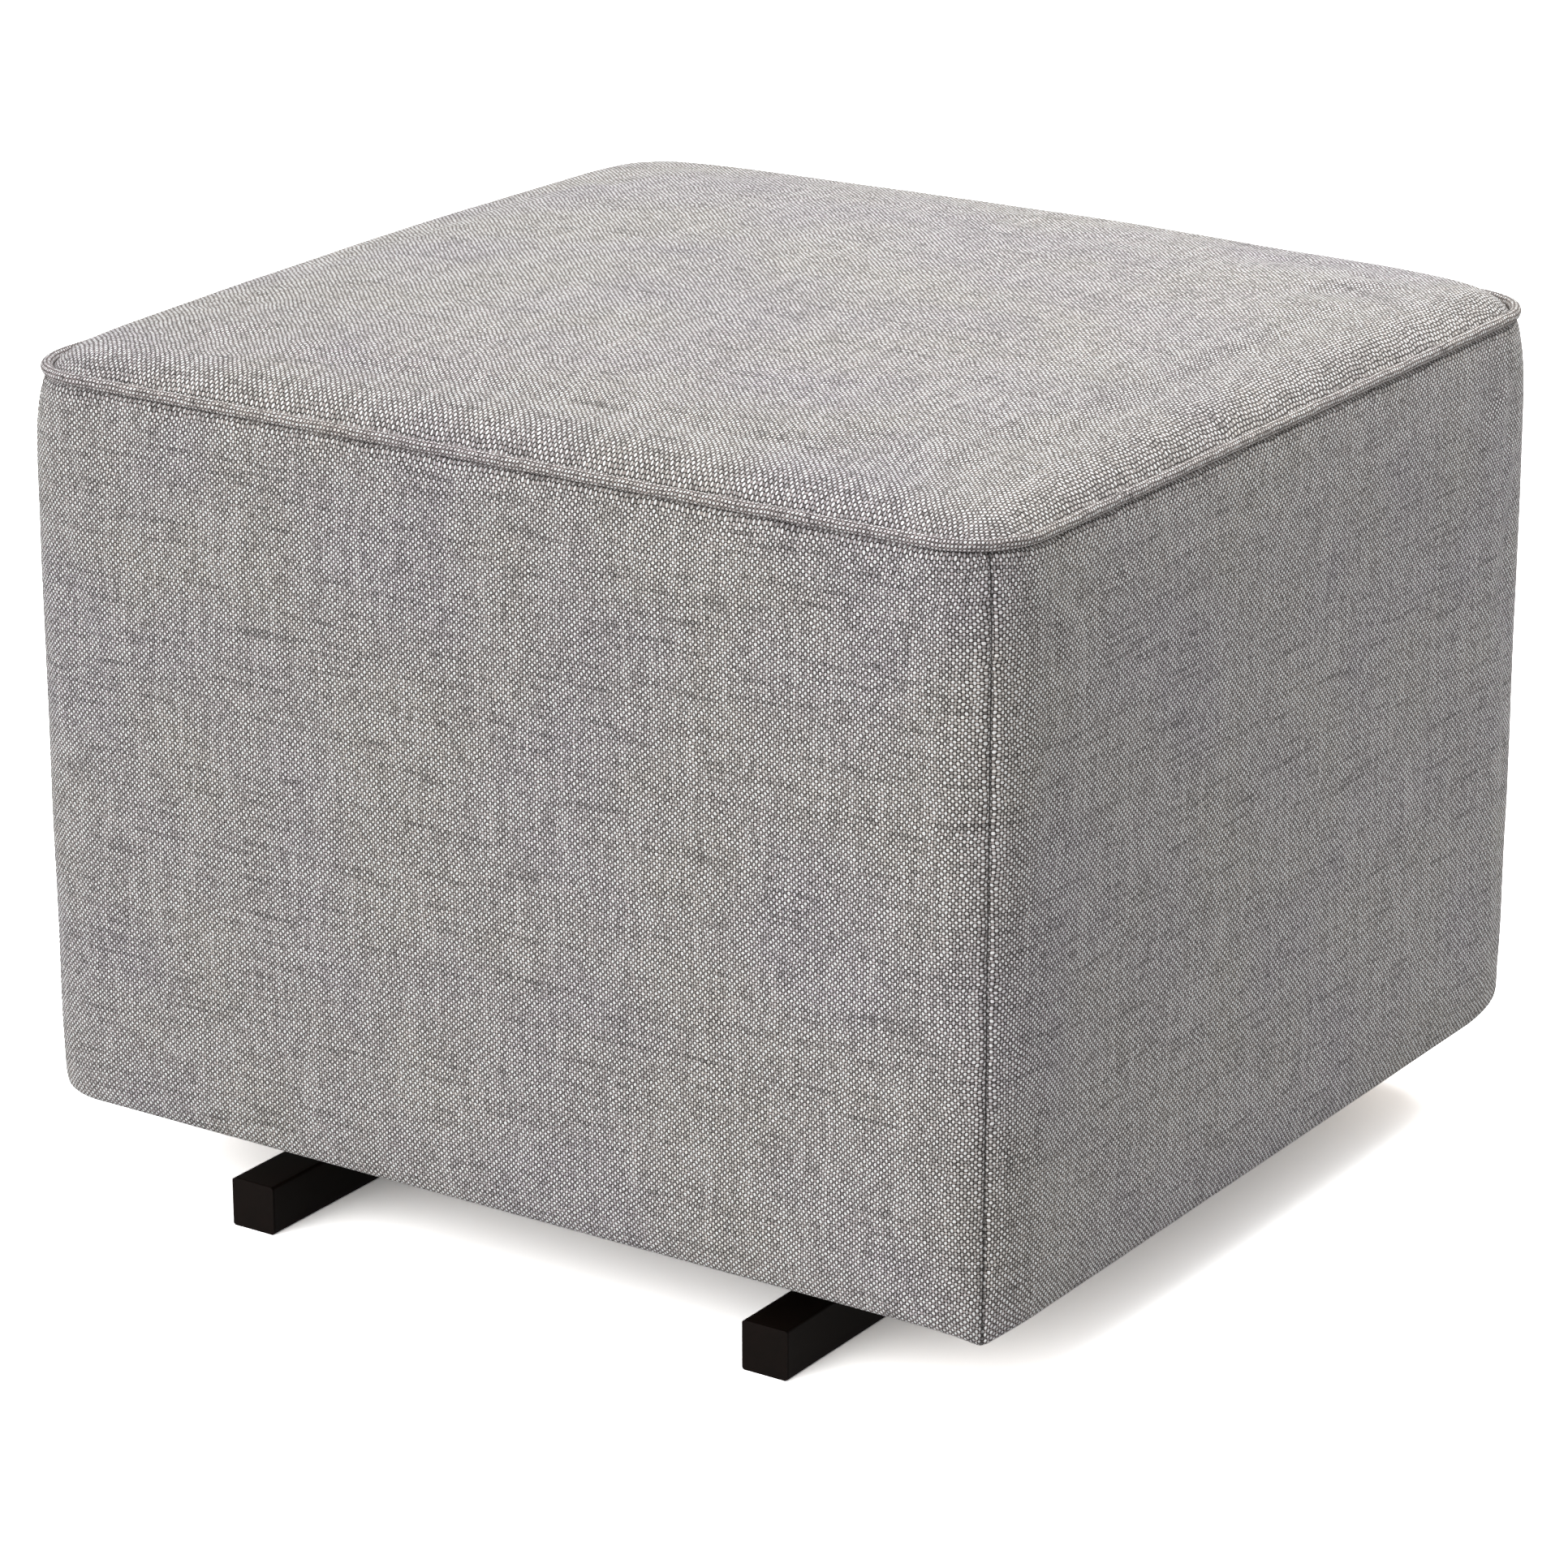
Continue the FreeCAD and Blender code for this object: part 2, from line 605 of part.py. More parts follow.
def seat_rails():
    """Steel angles under the runners, with their screws and the rubber stops."""
    low_z = seat_rail_top_z - seat_rail_height
    cuts = [rod(start, Z_AXIS, wood_screw_radius + screw_gap, plate_thickness + 1)
            for start in seat_screw_places()]
    buttons = []
    for side, y, z in stop_places():
        through = rod(vec(side * seat_rail_x, y, z), X_AXIS * side, stop_button_stem_radius + screw_gap,
                      plate_thickness)
        cuts.append(through)
        button = rod(vec(side * seat_rail_x, y, z), X_AXIS * -side, stop_button_radius, stop_button_height)
        stem = rod(vec(side * seat_rail_x, y, z), X_AXIS * side, stop_button_stem_radius,
                   plate_thickness + stop_button_stem_end)
        buttons.append(button.fuse(stem))
    for name, side in SIDES.items():
        web = box((side * seat_rail_x, -seat_rail_end_y, low_z),
                  (side * seat_rail_outer_x, seat_rail_end_y, seat_rail_top_z))
        flange = box((side * seat_rail_x, -seat_rail_end_y, seat_rail_top_z - plate_thickness),
                     (side * (seat_rail_x + seat_rail_flange), seat_rail_end_y, seat_rail_top_z))
        bolt_holes = [rod(vec(side * seat_rail_x, end * pivot_y, lower_pivot_z), X_AXIS * side,
                          pivot_bolt_radius + pivot_gap, plate_thickness) for end in ENDS.values()]
        save("seat_rail_" + name, web.fuse(flange).removeSplitter().cut(cuts + bolt_holes))
    save("stop_buttons", Part.makeCompound(buttons))
    screws = []
    for start in seat_screw_places():
        head = rod(start, Z_AXIS * -1, wood_screw_head_radius, seat_screw_head_height)
        screws.append(head.fuse(rod(start, Z_AXIS, wood_screw_radius, seat_screw_length)))
    save("seat_rail_screws", Part.makeCompound(screws))


def main():
    floor_base()
    swing_links()
    pivot_hardware()
    seat_rails()
    wooden_frame()
    top_layers()
    side_wadding()
    side_covers()
    welt_cord()


main()
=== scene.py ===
import json
import math

import bmesh
import bpy
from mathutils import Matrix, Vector, noise


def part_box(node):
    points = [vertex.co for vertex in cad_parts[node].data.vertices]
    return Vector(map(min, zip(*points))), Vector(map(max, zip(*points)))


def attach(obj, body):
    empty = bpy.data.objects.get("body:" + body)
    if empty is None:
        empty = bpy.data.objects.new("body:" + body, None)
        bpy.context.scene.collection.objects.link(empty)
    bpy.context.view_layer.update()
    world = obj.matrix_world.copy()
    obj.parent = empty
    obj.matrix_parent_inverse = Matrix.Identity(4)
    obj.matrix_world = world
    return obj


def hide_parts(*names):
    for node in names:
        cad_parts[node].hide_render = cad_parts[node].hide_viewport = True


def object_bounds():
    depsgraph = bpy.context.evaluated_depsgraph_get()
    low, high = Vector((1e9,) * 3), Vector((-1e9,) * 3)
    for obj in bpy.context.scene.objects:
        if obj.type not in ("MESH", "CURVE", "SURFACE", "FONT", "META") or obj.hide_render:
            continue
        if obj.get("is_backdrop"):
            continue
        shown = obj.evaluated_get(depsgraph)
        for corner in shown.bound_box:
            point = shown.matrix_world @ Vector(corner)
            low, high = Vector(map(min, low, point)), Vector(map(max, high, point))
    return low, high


# Gliding ottoman: a box upholstered in a grey linen-look weave, over a steel glide base on two floor rails.
# Metres, in the frame's own axes: +X right along the wide front, +Y back along the floor rails, +Z up.

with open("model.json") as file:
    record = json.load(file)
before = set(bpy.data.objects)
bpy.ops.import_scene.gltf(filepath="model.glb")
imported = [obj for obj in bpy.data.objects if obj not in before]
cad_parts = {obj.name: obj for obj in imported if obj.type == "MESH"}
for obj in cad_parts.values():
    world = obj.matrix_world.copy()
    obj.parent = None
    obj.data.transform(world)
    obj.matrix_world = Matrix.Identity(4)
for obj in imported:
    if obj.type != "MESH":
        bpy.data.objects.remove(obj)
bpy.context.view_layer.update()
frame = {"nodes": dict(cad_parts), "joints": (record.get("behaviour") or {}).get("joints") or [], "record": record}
scene = bpy.context.scene
MM = 0.001

# Sizes that come from the frame
welt_low, welt_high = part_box("welt_cord")
foam_low, foam_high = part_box("foam_cushion")
wadding_low, wadding_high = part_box("side_wadding")
padding = 10.8 * MM  # from a side board to the fabric's outer face
half_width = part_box("side_board_right")[1].x + padding
half_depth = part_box("side_board_rear")[1].y + padding
bottom_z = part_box("cover_front")[0].z
seam_z = welt_low.z
welt_radius = (welt_high.z - welt_low.z) / 2
welt_inset = half_width - (welt_high.x - welt_radius)
top_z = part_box("cover_top")[1].z
pivots = [Vector(joint["pos_m"]) for joint in frame["joints"]]
pivot_y = max(pivot.y for pivot in pivots)
pivot_high_z = max(pivot.z for pivot in pivots)
pivot_low_z = min(pivot.z for pivot in pivots)

# Sizes of the sewn cover
corner_radius = 42 * MM
fabric_thickness = 1.2 * MM
hem_width = 25 * MM
fold_radius = 3 * MM
bottom_draw_in = 1.6 * MM
bottom_draw_height = 60 * MM
top_draw_in = 5.8 * MM
top_draw_height = 60 * MM
tuck_depth = 2.4 * MM
tuck_height = 2.6 * MM
seam_clearance = 0.3 * MM
groove_depth = 1.6 * MM
groove_reach = 3.2 * MM
stitch_length = 4 * MM
top_edge_inset = welt_inset + 2.4 * MM
top_edge_z = seam_z + welt_radius - 1.8 * MM
top_corner_radius = corner_radius - top_edge_inset
top_half_x = half_width - top_edge_inset
top_half_y = half_depth - top_edge_inset
corner_slack = 6 * MM
corner_slack_reach = 95 * MM
shoulder_height = 21.5 * MM
shoulder_width = 12 * MM
dome_height = 8 * MM
dome_power = 2.2

# Each corner of the hem is sewn by hand: how far it hangs down, or is pulled up, and how far along that shows
hem_corners = {(1, -1): (8.3 * MM, 33 * MM), (1, 1): (-8 * MM, 52 * MM), (-1, 1): (-3 * MM, 40 * MM),
               (-1, -1): (0.5 * MM, 33 * MM)}
hem_corner_height = 55 * MM

# How the padding fills the cover: pressure in the simulation, and how far it may push the fabric
fill_pressure = 4.0
wall_give = 2.0 * MM
top_give = 3.0 * MM
give_fade = 45 * MM
frames_to_settle = 20

# Padding under the fabric
behind_fabric = fabric_thickness + 2 * seam_clearance
side_wadding_thickness = 6.5 * MM
top_wadding_thickness = 7 * MM
foam_drop = 11 * MM
foam_share_x = foam_high.x / top_half_x
foam_share_y = foam_high.y / top_half_y

# Unevenness of the padding and of the welt; the welt's lumps are a share of its radius
swell_length = 85 * MM
swell_height = 0.55 * MM
ripple_length = 26 * MM
ripple_height = 0.15 * MM
welt_lump = 0.06
welt_lump_length = 22 * MM
welt_lump_width = 6 * MM
welt_wave = 0.25 * MM
welt_wave_length = 60 * MM
at_edge = 0.1 * MM


def linear(code):
    """Turn an sRGB hex colour into Blender's linear one."""
    values = [int(code[i:i + 2], 16) / 255 for i in (1, 3, 5)]
    return [v / 12.92 if v <= 0.04045 else ((v + 0.055) / 1.055) ** 2.4 for v in values] + [1.0]


def node(tree, kind, inputs=None, out=0, stops=None, **settings):
    """Add a node with its settings and links, and return one of its outputs."""
    made = tree.nodes.new(kind)
    for name, value in settings.items():
        setattr(made, name, value)
    if stops:
        ramp = made.color_ramp
        while len(ramp.elements) < len(stops):
            ramp.elements.new(0.5)
        for element, (place, code) in zip(ramp.elements, stops):
            element.position = place
            element.color = linear(code)
    for key, value in (inputs or {}).items():
        if isinstance(value, bpy.types.NodeSocket):
            tree.links.new(value, made.inputs[key])
        else:
            made.inputs[key].default_value = value
    return made.outputs[out] if made.outputs else made


def new_material(name):
    made = bpy.data.materials.new(name)
    made.use_nodes = True
    made.node_tree.nodes.clear()
    return made, made.node_tree


def finish_material(tree, colour, roughness, height, depth, **sockets):
    """Join the colour, the roughness and a bump of the given depth to the shader, with any other sockets."""
    bump = node(tree, "ShaderNodeBump", {"Height": height, "Distance": depth})
    inputs = {"Base Color": colour, "Roughness": roughness, "Normal": bump}
    inputs.update({name.replace("_", " "): value for name, value in sockets.items()})
    shader = node(tree, "ShaderNodeBsdfPrincipled", inputs)
    node(tree, "ShaderNodeOutputMaterial", {"Surface": shader})


# Materials

def linen_weave(name, turn=0.0, tint="#ffffff", seamed=False):
    """Linen-look polyester upholstery weave.

    Pale mottled warp threads cross browner weft threads one over, one under, so the eye sees rows of light
    dots with dark pits between, and a few slubs where a yarn is thicker."""
    pitch = 1.45 * MM  # the real threads lie about 0.9 mm apart, too fine to show, so they are drawn coarser
    slub_length = 50 * MM
    sway_length = 22 * MM
    sway_reach = (1.8, 1.8, 0)
    twist_length = 5 * MM
    twist_reach = (1.1, 0.7, 0)
    warp_oval = (2.1, 1.45, 0)
    weft_oval = (1.7, 2.3, 0)
    patch_size = 90 * MM
    pull_reach = 3.5 * MM
    crease_shade_edge = 1.0 * MM
    crease_shade_core = 0.4 * MM
    made, tree = new_material(name)
    threads = node(tree, "ShaderNodeUVMap", uv_map="threads")
    scale = (1 / pitch, 1 / pitch, 0)
    laid = node(tree, "ShaderNodeMapping", {"Vector": threads, "Rotation": (0, 0, turn), "Scale": scale})
    sway = node(tree, "ShaderNodeTexNoise",
                {"Vector": laid, "Scale": pitch / sway_length, "Detail": 1.0}, "Color")
    slow = node(tree, "ShaderNodeVectorMath", {0: sway, 1: sway_reach, 2: laid}, operation="MULTIPLY_ADD")
    twist = node(tree, "ShaderNodeTexNoise",
                 {"Vector": laid, "Scale": pitch / twist_length, "Detail": 1.0}, "Color")
    place = node(tree, "ShaderNodeVectorMath", {0: twist, 1: twist_reach, 2: slow}, operation="MULTIPLY_ADD")
    cell = node(tree, "ShaderNodeVectorMath", {0: place}, operation="FLOOR")
    share = node(tree, "ShaderNodeVectorMath", {0: place}, operation="FRACTION")
    spot = node(tree, "ShaderNodeVectorMath", {0: share, 1: (0.5, 0.5, 0)}, operation="SUBTRACT")
    halves = node(tree, "ShaderNodeVectorMath", {0: cell, 1: (0.5, 0.5, 0)}, "Value", operation="DOT_PRODUCT")
    odd = node(tree, "ShaderNodeMath", {0: halves}, operation="FRACT")
    weft_on_top = node(tree, "ShaderNodeMath", {0: odd, 1: 0.25}, operation="GREATER_THAN")

    # A float is a rounded oval along its own thread; towards its edge its colour is darkened with painted shade,
    # down to the near-black of the pit between the threads, where shade falls
    oval = node(tree, "ShaderNodeMix", {0: weft_on_top, 4: warp_oval, 5: weft_oval}, 1, data_type="VECTOR")
    reach = node(tree, "ShaderNodeVectorMath", {0: spot, 1: oval}, operation="MULTIPLY")
    edge = node(tree, "ShaderNodeVectorMath", {0: reach}, "Value", operation="LENGTH")
    crest = node(tree, "ShaderNodeMapRange", {"Value": edge, "From Min": 1.1, "From Max": 0.62},
                 interpolation_type="SMOOTHSTEP")
    thread = node(tree, "ShaderNodeMix", {0: weft_on_top, 6: linear("#fdfbfa"), 7: linear("#968e8b")}, 2,
                  data_type="RGBA")
    # Painted shade: the float's colour fades over its rounded edge into a near-black pit colour
    weave_with_painted_pit_shade = node(tree, "ShaderNodeMix", {0: crest, 6: linear("#241f1c"), 7: thread}, 2, data_type="RGBA")

    # Each thread keeps its tone for a few centimetres: a thin weft leaves a dark line, a thick warp a pale
    # one. The steps from row to row are wide enough in the noise for neighbouring threads to differ.
    along = pitch / slub_length
    warp_row = node(tree, "ShaderNodeVectorMath", {0: cell, 1: (2.37, 0, 0)}, operation="MULTIPLY")
    weft_row = node(tree, "ShaderNodeVectorMath", {0: cell, 1: (0, 2.61, 0)}, operation="MULTIPLY")
    warp_at = node(tree, "ShaderNodeVectorMath", {0: place, 1: (0, along, 0), 2: warp_row},
                   operation="MULTIPLY_ADD")
    weft_at = node(tree, "ShaderNodeVectorMath", {0: place, 1: (along, 0, 0), 2: weft_row},
                   operation="MULTIPLY_ADD")
    warp_tone = node(tree, "ShaderNodeTexNoise", {"Vector": warp_at, "Scale": 1.0, "Detail": 2.0})
    weft_tone = node(tree, "ShaderNodeTexNoise", {"Vector": weft_at, "Scale": 1.0, "Detail": 2.0})
    pale_warp = node(tree, "ShaderNodeMapRange", {"Value": warp_tone, "From Min": 0.5, "From Max": 0.7,
                                                  "To Min": 0.95, "To Max": 1.42})
    dark_weft = node(tree, "ShaderNodeMapRange", {"Value": weft_tone, "From Min": 0.3, "From Max": 0.46,
                                                  "To Min": 0.66, "To Max": 1.04})

    # The yarn is a mixture of light and dark fibres, so every float differs from the next
    draw = node(tree, "ShaderNodeTexWhiteNoise", {"Vector": cell}, "Value")
    mottle = node(tree, "ShaderNodeMapRange", {"Value": draw, "To Min": 0.65, "To Max": 1.35})
    lines = node(tree, "ShaderNodeMath", {0: pale_warp, 1: dark_weft}, operation="MULTIPLY")
    tone = node(tree, "ShaderNodeMath", {0: lines, 1: mottle}, operation="MULTIPLY")
    mixed = node(tree, "ShaderNodeVectorMath", {0: weave_with_painted_pit_shade, "Scale": tone}, operation="SCALE")

    # Dye takes a little unevenly, from warm to faintly lilac
    where = node(tree, "ShaderNodeTexCoord", out="Object")
    patch = node(tree, "ShaderNodeTexNoise", {"Vector": where, "Scale": 1 / patch_size, "Detail": 2.0})
    hue = node(tree, "ShaderNodeValToRGB", {0: patch}, stops=[(0.38, "#fffefb"), (0.64, "#f9f7fc")])
    dyed = node(tree, "ShaderNodeMix", {0: 1.0, 6: mixed, 7: hue}, 2, data_type="RGBA", blend_type="MULTIPLY")
    colour = node(tree, "ShaderNodeMix", {0: 1.0, 6: dyed, 7: linear(tint)}, 2, data_type="RGBA",
                  blend_type="MULTIPLY", clamp_result=True)
    height = crest
    if seamed:
        # Beside a corner seam the stitches pull the fabric in, and a near-black line of painted shade darkens the
        # seam's crease between the panels, broken by the beat of the stitches
        stitch_beat = (0, 2 * math.pi / stitch_length, 0)
        stitches = node(tree, "ShaderNodeMapping", {"Vector": threads, "Scale": stitch_beat})
        along_seam = node(tree, "ShaderNodeSeparateXYZ", {0: stitches}, "Y")
        beat = node(tree, "ShaderNodeMath", {0: along_seam}, operation="SINE")
        to_seam = node(tree, "ShaderNodeAttribute", out="Fac", attribute_name="to_seam")
        pull = node(tree, "ShaderNodeMapRange", {"Value": to_seam, "From Min": pull_reach, "From Max": 0.0},
                    interpolation_type="SMOOTHSTEP")
        pucker = node(tree, "ShaderNodeMath", {0: beat, 1: pull}, operation="MULTIPLY")
        height = node(tree, "ShaderNodeMath", {0: pucker, 1: 1.5, 2: crest}, operation="MULTIPLY_ADD")
        # Painted shade along the seam's crease, strongest on the seam itself and fading out a millimetre away
        painted_crease_shade = node(tree, "ShaderNodeMapRange",
                    {"Value": to_seam, "From Min": crease_shade_edge, "From Max": crease_shade_core, "To Max": 0.7})
        knots = node(tree, "ShaderNodeMath", {0: beat, 1: 0.4, 2: 0.8}, operation="MULTIPLY_ADD")
        shade = node(tree, "ShaderNodeMath", {0: painted_crease_shade, 1: knots}, operation="MULTIPLY", use_clamp=True)
        colour = node(tree, "ShaderNodeMix", {0: shade, 6: colour, 7: linear("#2b2724")}, 2, data_type="RGBA")
    dull = node(tree, "ShaderNodeMapRange", {"Value": crest, "To Min": 0.95, "To Max": 0.8})
    finish_material(tree, colour, dull, height, 0.2 * MM, Sheen_Weight=0.1, Sheen_Roughness=0.4,
                    Specular_IOR_Level=0.25)
    return made


def powder_coat(name):
    """Espresso powder coat on steel: near-black brown, satin, with the faint orange peel of baked powder."""
    made, tree = new_material(name)
    where = node(tree, "ShaderNodeTexCoord", out="Object")
    peel = node(tree, "ShaderNodeTexNoise", {"Vector": where, "Scale": 1 / (1.6 * MM), "Detail": 2.0})
    cloud = node(tree, "ShaderNodeTexNoise", {"Vector": where, "Scale": 1 / (40 * MM), "Detail": 4.0})
    colour = node(tree, "ShaderNodeValToRGB", {0: cloud}, stops=[(0.3, "#0f0a07"), (0.7, "#150e0a")])
    gloss = node(tree, "ShaderNodeMapRange", {"Value": cloud, "To Min": 0.44, "To Max": 0.56})
    finish_material(tree, colour, gloss, peel, 0.03 * MM, IOR=1.5, Specular_IOR_Level=0.1)
    return made


def moulded_cap(name):
    """Moulded polypropylene plug: black-brown with a fine spark-eroded grain that keeps it matt."""
    made, tree = new_material(name)
    where = node(tree, "ShaderNodeTexCoord", out="Object")
    grain = node(tree, "ShaderNodeTexVoronoi", {"Vector": where, "Scale": 1 / (0.5 * MM)})
    cloud = node(tree, "ShaderNodeTexNoise", {"Vector": where, "Scale": 1 / (8 * MM), "Detail": 3.0})
    colour = node(tree, "ShaderNodeValToRGB", {0: cloud}, stops=[(0.3, "#100b08"), (0.7, "#150e0b")])
    gloss = node(tree, "ShaderNodeMapRange", {"Value": cloud, "To Min": 0.55, "To Max": 0.66})
    finish_material(tree, colour, gloss, grain, 0.02 * MM, IOR=1.49, Specular_IOR_Level=0.08)
    return made


def zinc_plate(name):
    """Bright zinc plate on fasteners: pale bluish metal with faint cloudy passivation and fine scratches."""
    made, tree = new_material(name)
    where = node(tree, "ShaderNodeTexCoord", out="Object")
    cloud = node(tree, "ShaderNodeTexNoise", {"Vector": where, "Scale": 1 / (3 * MM), "Detail": 5.0})
    streak = node(tree, "ShaderNodeMapping", {"Vector": where, "Scale": (400, 3000, 3000)})
    scratch = node(tree, "ShaderNodeTexNoise", {"Vector": streak, "Scale": 1.0, "Detail": 2.0})
    colour = node(tree, "ShaderNodeValToRGB", {0: cloud},
                  stops=[(0.3, "#b9bcc2"), (0.55, "#cfd0d1"), (0.75, "#d2cdbd")])
    gloss = node(tree, "ShaderNodeMapRange", {"Value": scratch, "To Min": 0.24, "To Max": 0.44})
    finish_material(tree, colour, gloss, scratch, 0.01 * MM, Metallic=1.0)
    return made


def bearing_steel(name):
    """Ball bearing: ground steel rings, and black rubber seals in the band between them."""
    seal_inner = 6.3 * MM
    seal_outer = 8.8 * MM
    seal_middle = (seal_inner + seal_outer) / 2
    half_seal = (seal_outer - seal_inner) / 2
    made, tree = new_material(name)
    where = node(tree, "ShaderNodeTexCoord", out="Object")
    middle = (0, 0, (pivot_high_z + pivot_low_z) / 2)
    offset = (0, pivot_y, (pivot_high_z - pivot_low_z) / 2)
    centred = node(tree, "ShaderNodeVectorMath", {0: where, 1: middle}, operation="SUBTRACT")
    folded = node(tree, "ShaderNodeVectorMath", {0: centred}, operation="ABSOLUTE")
    around = node(tree, "ShaderNodeVectorMath", {0: folded, 1: offset}, operation="SUBTRACT")
    flat = node(tree, "ShaderNodeVectorMath", {0: around, 1: (0, 1, 1)}, operation="MULTIPLY")
    radius = node(tree, "ShaderNodeVectorMath", {0: flat}, "Value", operation="LENGTH")
    ring = node(tree, "ShaderNodeMath", {0: radius, 1: seal_middle}, operation="SUBTRACT")
    band = node(tree, "ShaderNodeMath", {0: ring}, operation="ABSOLUTE")
    steel = node(tree, "ShaderNodeMath", {0: band, 1: half_seal}, operation="GREATER_THAN")
    lathe = node(tree, "ShaderNodeMath", {0: radius, 1: 2 * math.pi / (0.4 * MM)}, operation="MULTIPLY")
    lines = node(tree, "ShaderNodeMath", {0: lathe}, operation="SINE")
    colour = node(tree, "ShaderNodeMix", {0: steel, 6: linear("#141414"), 7: linear("#bfc0c2")}, 2,
                  data_type="RGBA")
    gloss = node(tree, "ShaderNodeMapRange", {"Value": steel, "To Min": 0.6, "To Max": 0.22})
    finish_material(tree, colour, gloss, lines, 0.004 * MM, Metallic=steel)
    return made


def moulded_rubber(name):
    """Moulded rubber buffer: deep matt black with a dusty bloom."""
    made, tree = new_material(name)
    where = node(tree, "ShaderNodeTexCoord", out="Object")
    bloom = node(tree, "ShaderNodeTexNoise", {"Vector": where, "Scale": 1 / (2.5 * MM), "Detail": 4.0})
    colour = node(tree, "ShaderNodeValToRGB", {0: bloom}, stops=[(0.35, "#161616"), (0.75, "#2b2a29")])
    gloss = node(tree, "ShaderNodeMapRange", {"Value": bloom, "To Min": 0.7, "To Max": 0.9})
    finish_material(tree, colour, gloss, bloom, 0.03 * MM, IOR=1.52)
    return made


def sawn_pine(name, turn):
    """Sawn pine: pale yellow early wood striped by harder, browner growth rings, with saw-rough fibres."""
    ring_spacing = 5 * MM
    made, tree = new_material(name)
    where = node(tree, "ShaderNodeTexCoord", out="Object")
    grained = node(tree, "ShaderNodeMapping", {"Vector": where, "Rotation": turn, "Scale": (0.08, 1, 1)})
    sway = node(tree, "ShaderNodeTexNoise",
                {"Vector": grained, "Scale": 1 / (30 * MM), "Detail": 3.0}, "Color")
    bent = node(tree, "ShaderNodeVectorMath", {0: sway, 1: (0.02, 0.02, 0.02), 2: grained},
                operation="MULTIPLY_ADD")
    rings = node(tree, "ShaderNodeTexWave", {"Vector": bent, "Scale": math.pi / 10 / ring_spacing,
                                            "Distortion": 1.5, "Detail": 2.0},
                 wave_type="BANDS", bands_direction="DIAGONAL", wave_profile="SAW")
    fibres = node(tree, "ShaderNodeTexNoise", {"Vector": grained, "Scale": 1 / (0.6 * MM), "Detail": 4.0})
    colour = node(tree, "ShaderNodeValToRGB", {0: rings},
                  stops=[(0.0, "#dcbd8c"), (0.7, "#cfa873"), (0.95, "#a9783f")])
    dark = node(tree, "ShaderNodeValToRGB", {0: fibres}, stops=[(0.35, "#b8a48e"), (0.55, "#ffffff")])
    wood = node(tree, "ShaderNodeMix", {0: 0.6, 6: colour, 7: dark}, 2, data_type="RGBA",
                blend_type="MULTIPLY")
    gloss = node(tree, "ShaderNodeMapRange", {"Value": rings, "To Min": 0.8, "To Max": 0.6})
    finish_material(tree, wood, gloss, fibres, 0.15 * MM)
    return made


def hardboard(name):
    """Pressed hardboard: dark brown, smooth, flecked with pressed fibres."""
    made, tree = new_material(name)
    where = node(tree, "ShaderNodeTexCoord", out="Object")
    fleck = node(tree, "ShaderNodeTexNoise", {"Vector": where, "Scale": 1 / (1.2 * MM), "Detail": 6.0,
                                             "Roughness": 0.7})
    cloud = node(tree, "ShaderNodeTexNoise", {"Vector": where, "Scale": 1 / (60 * MM), "Detail": 2.0})
    colour = node(tree, "ShaderNodeValToRGB", {0: fleck},
                  stops=[(0.3, "#5d4029"), (0.5, "#7d5a3c"), (0.7, "#a07b56")])
    gloss = node(tree, "ShaderNodeMapRange", {"Value": cloud, "To Min": 0.45, "To Max": 0.65})
    finish_material(tree, colour, gloss, fleck, 0.05 * MM)
    return made


def plywood(name):
    """Rotary-cut plywood: wide wandering figure on its faces, light and dark plies along its edges."""
    ply = 1.5 * MM
    made, tree = new_material(name)
    where = node(tree, "ShaderNodeTexCoord", out="Object")
    grained = node(tree, "ShaderNodeMapping", {"Vector": where, "Scale": (0.12, 1, 0)})
    sway = node(tree, "ShaderNodeTexNoise", {"Vector": grained, "Scale": 1 / (60 * MM), "Detail": 3.0})
    rings = node(tree, "ShaderNodeMath", {0: sway, 1: 9.0}, operation="MULTIPLY")
    figure = node(tree, "ShaderNodeMath", {0: rings}, operation="FRACT")
    face = node(tree, "ShaderNodeValToRGB", {0: figure},
                stops=[(0.0, "#d9ba8d"), (0.8, "#caa26d"), (1.0, "#b48a55")])
    height = node(tree, "ShaderNodeSeparateXYZ", {0: where}, "Z")
    layer = node(tree, "ShaderNodeMath", {0: height, 1: 2 * ply}, operation="PINGPONG")
    second = node(tree, "ShaderNodeMath", {0: layer, 1: ply}, operation="GREATER_THAN")
    edge = node(tree, "ShaderNodeValToRGB", {0: second}, stops=[(0.0, "#c9a06b"), (1.0, "#8a6238")])
    normal = node(tree, "ShaderNodeNewGeometry", out="Normal")
    upright = node(tree, "ShaderNodeSeparateXYZ", {0: normal}, "Z")
    level = node(tree, "ShaderNodeMath", {0: upright}, operation="ABSOLUTE")
    colour = node(tree, "ShaderNodeMix", {0: level, 6: edge, 7: face}, 2, data_type="RGBA")
    fibres = node(tree, "ShaderNodeTexNoise", {"Vector": grained, "Scale": 1 / (0.8 * MM), "Detail": 3.0})
    gloss = node(tree, "ShaderNodeMapRange", {"Value": fibres, "To Min": 0.6, "To Max": 0.8})
    finish_material(tree, colour, gloss, fibres, 0.1 * MM)
    return made


def seat_foam(name):
    """Cut polyurethane foam: cream, with the open cells of its cut face."""
    made, tree = new_material(name)
    where = node(tree, "ShaderNodeTexCoord", out="Object")
    cells = node(tree, "ShaderNodeTexVoronoi", {"Vector": where, "Scale": 1 / (1.4 * MM)})
    colour = node(tree, "ShaderNodeValToRGB", {0: cells}, stops=[(0.1, "#c8b98a"), (0.6, "#efe3bd")])
    rough = node(tree, "ShaderNodeMapRange", {"Value": cells, "To Min": 1.0, "To Max": 0.85})
    finish_material(tree, colour, rough, cells, 0.5 * MM)
    return made


